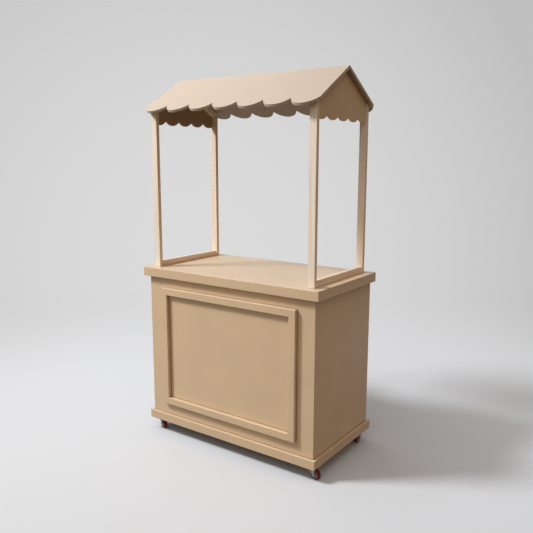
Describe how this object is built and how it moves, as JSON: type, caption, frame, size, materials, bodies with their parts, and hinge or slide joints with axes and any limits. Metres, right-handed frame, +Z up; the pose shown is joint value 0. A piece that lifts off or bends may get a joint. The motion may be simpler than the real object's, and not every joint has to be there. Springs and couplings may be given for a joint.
{
  "type": "snack cart",
  "caption": "Mobile snack cart: a box cabinet on swivel casters with a framed front panel, a worktop, slim posts and a small pitched roof with scalloped eaves and gables.",
  "frame": {"origin": "on the floor under the middle of the worktop", "axes": "+Z up; +Y from the customer side with the framed panel to the open service side at the back; +X to the right as the customer sees it, along the ridge of the roof"},
  "size_m": [1, 0.552, 1.7539],
  "materials": {
    "beige_paint": "satin beige paint on fibreboard",
    "roof_paint": "satin cream paint on plywood",
    "raw_board": "matt bare fibreboard",
    "bare_pine": "planed pine",
    "zinc_plate": "zinc-plated pressed steel",
    "bright_steel": "bright steel",
    "grey_plastic": "moulded grey nylon",
    "red_polyurethane": "smooth dark red polyurethane"
  },
  "bodies": {
    "cart": {"worktop_board": "beige_paint", "worktop_rim_front": "beige_paint", "worktop_rim_back": "beige_paint", "worktop_rim_left": "beige_paint", "worktop_rim_right": "beige_paint", "front_panel": "beige_paint", "left_side_panel": "beige_paint", "right_side_panel": "beige_paint", "cabinet_floor": "raw_board", "shelf": "raw_board", "left_shelf_cleat": "bare_pine", "right_shelf_cleat": "bare_pine", "front_shelf_cleat": "bare_pine", "plinth_front": "beige_paint", "plinth_back": "beige_paint", "plinth_left": "beige_paint", "plinth_right": "beige_paint", "moulding_top": "beige_paint", "moulding_bottom": "beige_paint", "moulding_left": "beige_paint", "moulding_right": "beige_paint", "post_front_left": "bare_pine", "post_front_right": "bare_pine", "post_back_left": "bare_pine", "post_back_right": "bare_pine", "rafter_front_left": "bare_pine", "rafter_front_right": "bare_pine", "rafter_back_left": "bare_pine", "rafter_back_right": "bare_pine", "rail_left": "bare_pine", "rail_right": "bare_pine", "gable_left": "beige_paint", "gable_right": "beige_paint", "ridge_board": "bare_pine", "roof_sheet_front": "roof_paint", "roof_sheet_back": "roof_paint", "caster_plate_front_left": "zinc_plate", "caster_plate_front_right": "zinc_plate", "caster_plate_back_left": "zinc_plate", "caster_plate_back_right": "zinc_plate", "kingpin_front_left": "bright_steel", "kingpin_front_right": "bright_steel", "kingpin_back_left": "bright_steel", "kingpin_back_right": "bright_steel"},
    "swivel_front_left": {"fork_front_left": "zinc_plate", "axle_front_left": "bright_steel"},
    "wheel_front_left": {"wheel_hub_front_left": "grey_plastic", "tyre_front_left": "red_polyurethane"},
    "swivel_front_right": {"fork_front_right": "zinc_plate", "axle_front_right": "bright_steel"},
    "wheel_front_right": {"wheel_hub_front_right": "grey_plastic", "tyre_front_right": "red_polyurethane"},
    "swivel_back_left": {"fork_back_left": "zinc_plate", "axle_back_left": "bright_steel"},
    "wheel_back_left": {"wheel_hub_back_left": "grey_plastic", "tyre_back_left": "red_polyurethane"},
    "swivel_back_right": {"fork_back_right": "zinc_plate", "axle_back_right": "bright_steel"},
    "wheel_back_right": {"wheel_hub_back_right": "grey_plastic", "tyre_back_right": "red_polyurethane"}
  },
  "joints": [
    {"name": "caster_swivel_front_left", "type": "hinge", "parent": "cart", "child": "swivel_front_left", "pos_m": [-0.453, -0.209, 0.0575], "axis": [0, 0, 1], "continuous": true},
    {"name": "wheel_spin_front_left", "type": "hinge", "parent": "swivel_front_left", "child": "wheel_front_left", "pos_m": [-0.43487, -0.21745, 0.0235], "axis": [0.4226, 0.9063, 0], "continuous": true},
    {"name": "caster_swivel_front_right", "type": "hinge", "parent": "cart", "child": "swivel_front_right", "pos_m": [0.453, -0.209, 0.0575], "axis": [0, 0, 1], "continuous": true},
    {"name": "wheel_spin_front_right", "type": "hinge", "parent": "swivel_front_right", "child": "wheel_front_right", "pos_m": [0.47223, -0.21451, 0.0235], "axis": [0.2756, 0.9613, 0], "continuous": true},
    {"name": "caster_swivel_back_left", "type": "hinge", "parent": "cart", "child": "swivel_back_left", "pos_m": [-0.453, 0.228, 0.0575], "axis": [0, 0, 1], "continuous": true},
    {"name": "wheel_spin_back_left", "type": "hinge", "parent": "swivel_back_left", "child": "wheel_back_left", "pos_m": [-0.43473, 0.23613, 0.0235], "axis": [-0.4067, 0.9135, 0], "continuous": true},
    {"name": "caster_swivel_back_right", "type": "hinge", "parent": "cart", "child": "swivel_back_right", "pos_m": [0.453, 0.228, 0.0575], "axis": [0, 0, 1], "continuous": true},
    {"name": "wheel_spin_back_right", "type": "hinge", "parent": "swivel_back_right", "child": "wheel_back_right", "pos_m": [0.4537, 0.20801, 0.0235], "axis": [0.9994, 0.0349, 0], "continuous": true}
  ]
}
